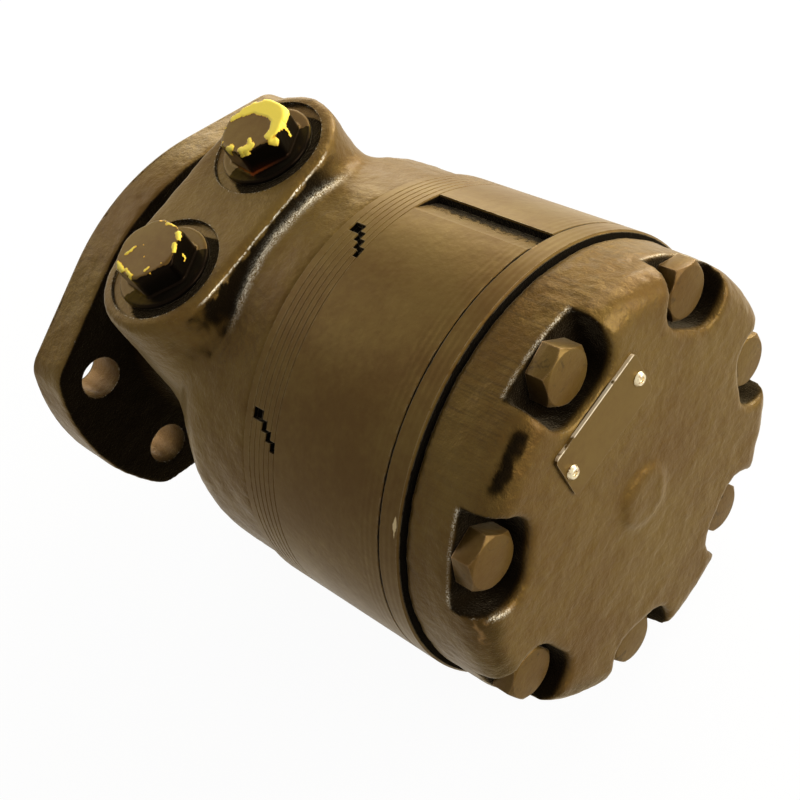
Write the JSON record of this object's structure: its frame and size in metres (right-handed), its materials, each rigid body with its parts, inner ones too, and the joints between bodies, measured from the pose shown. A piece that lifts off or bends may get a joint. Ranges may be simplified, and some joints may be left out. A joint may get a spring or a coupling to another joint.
{
  "type": "hydraulic motor",
  "caption": "Low-speed orbital hydraulic motor: flanged housing with side-by-side plugged ports, laminated manifold, stator ring with roller gear set, bolted cast end cover.",
  "frame": {"origin": "centre of the pilot in the plane of the mounting face, on the shaft axis", "axes": "+Y along the output shaft, away from the body; +Z towards the two ports; +X to the right as the end cover is looked at with the ports up"},
  "size_m": [0.135, 0.2266, 0.1369],
  "materials": {
    "painted_casting": "satin olive-brown paint over sand-cast iron",
    "painted_parts": "satin olive-brown paint over machined steel",
    "shaft_steel": "ground steel",
    "gear_steel": "hardened and ground steel",
    "bearing_steel": "polished steel",
    "seal_rubber": "matte",
    "plug_plastic": "glossy black, part painted over",
    "rivet_brass": "dull"
  },
  "bodies": {
    "motor_body": {"housing": "painted_casting", "dust_seal": "seal_rubber", "shaft_seal": "seal_rubber", "seal_backup_washer": "bearing_steel", "thrust_bearing": "bearing_steel", "front_bearing": "bearing_steel", "rear_bearing": "bearing_steel", "manifold_plate_1": "painted_parts", "manifold_plate_2": "painted_parts", "manifold_plate_3": "painted_parts", "manifold_plate_4": "painted_parts", "manifold_plate_5": "painted_parts", "manifold_seal": "seal_rubber", "stator_ring": "painted_parts", "stator_seal_front": "seal_rubber", "stator_seal_rear": "seal_rubber", "balance_plate": "painted_parts", "end_cover": "painted_casting", "cover_seal": "seal_rubber", "cover_bolts": "painted_parts", "nameplate": "painted_parts", "plate_rivets": "rivet_brass"},
    "output_shaft": {"output_shaft": "shaft_steel", "shaft_key": "shaft_steel"},
    "orbit": {"thrust_ball": "bearing_steel"},
    "rotor": {"rotor": "gear_steel"},
    "drive_link": {"drive_link": "gear_steel"},
    "roller_1": {"roller_1": "gear_steel"},
    "roller_2": {"roller_2": "gear_steel"},
    "roller_3": {"roller_3": "gear_steel"},
    "roller_4": {"roller_4": "gear_steel"},
    "roller_5": {"roller_5": "gear_steel"},
    "roller_6": {"roller_6": "gear_steel"},
    "roller_7": {"roller_7": "gear_steel"},
    "left_plug": {"port_plug_left": "plug_plastic", "plug_seal_left": "seal_rubber"},
    "right_plug": {"port_plug_right": "plug_plastic", "plug_seal_right": "seal_rubber"}
  },
  "joints": [
    {"name": "shaft_spin", "type": "hinge", "parent": "motor_body", "child": "output_shaft", "pos_m": [0, 0, 0], "axis": [0, 1, 0], "continuous": true},
    {"name": "rotor_orbit", "type": "hinge", "parent": "motor_body", "child": "orbit", "pos_m": [0, 0, 0], "axis": [0, 1, 0], "continuous": true},
    {"name": "rotor_spin", "type": "hinge", "parent": "orbit", "child": "rotor", "pos_m": [0, -0.13125, -0.0032], "axis": [0, 1, 0], "continuous": true},
    {"name": "link_spin", "type": "hinge", "parent": "orbit", "child": "drive_link", "pos_m": [0, -0.07384, 0], "axis": [0, 0.9985, 0.0557], "continuous": true},
    {"name": "roller_1_spin", "type": "hinge", "parent": "motor_body", "child": "roller_1", "pos_m": [0.01735, -0.13125, 0.03604], "axis": [0, 1, 0], "continuous": true},
    {"name": "roller_2_spin", "type": "hinge", "parent": "motor_body", "child": "roller_2", "pos_m": [0.039, -0.13125, 0.0089], "axis": [0, 1, 0], "continuous": true},
    {"name": "roller_3_spin", "type": "hinge", "parent": "motor_body", "child": "roller_3", "pos_m": [0.03127, -0.13125, -0.02494], "axis": [0, 1, 0], "continuous": true},
    {"name": "roller_4_spin", "type": "hinge", "parent": "motor_body", "child": "roller_4", "pos_m": [0, -0.13125, -0.04], "axis": [0, 1, 0], "continuous": true},
    {"name": "roller_5_spin", "type": "hinge", "parent": "motor_body", "child": "roller_5", "pos_m": [-0.03127, -0.13125, -0.02494], "axis": [0, 1, 0], "continuous": true},
    {"name": "roller_6_spin", "type": "hinge", "parent": "motor_body", "child": "roller_6", "pos_m": [-0.039, -0.13125, 0.0089], "axis": [0, 1, 0], "continuous": true},
    {"name": "roller_7_spin", "type": "hinge", "parent": "motor_body", "child": "roller_7", "pos_m": [-0.01735, -0.13125, 0.03604], "axis": [0, 1, 0], "continuous": true},
    {"name": "left_plug_pull", "type": "slide", "parent": "motor_body", "child": "left_plug", "axis": [0, 0, 1], "range_m": [0, 0.03]},
    {"name": "right_plug_pull", "type": "slide", "parent": "motor_body", "child": "right_plug", "axis": [0, 0, 1], "range_m": [0, 0.03]}
  ],
  "couplings": [
    {"joint": "rotor_orbit", "follows": "shaft_spin", "ratio": -6},
    {"joint": "rotor_spin", "follows": "shaft_spin", "ratio": 7},
    {"joint": "link_spin", "follows": "shaft_spin", "ratio": 7}
  ]
}
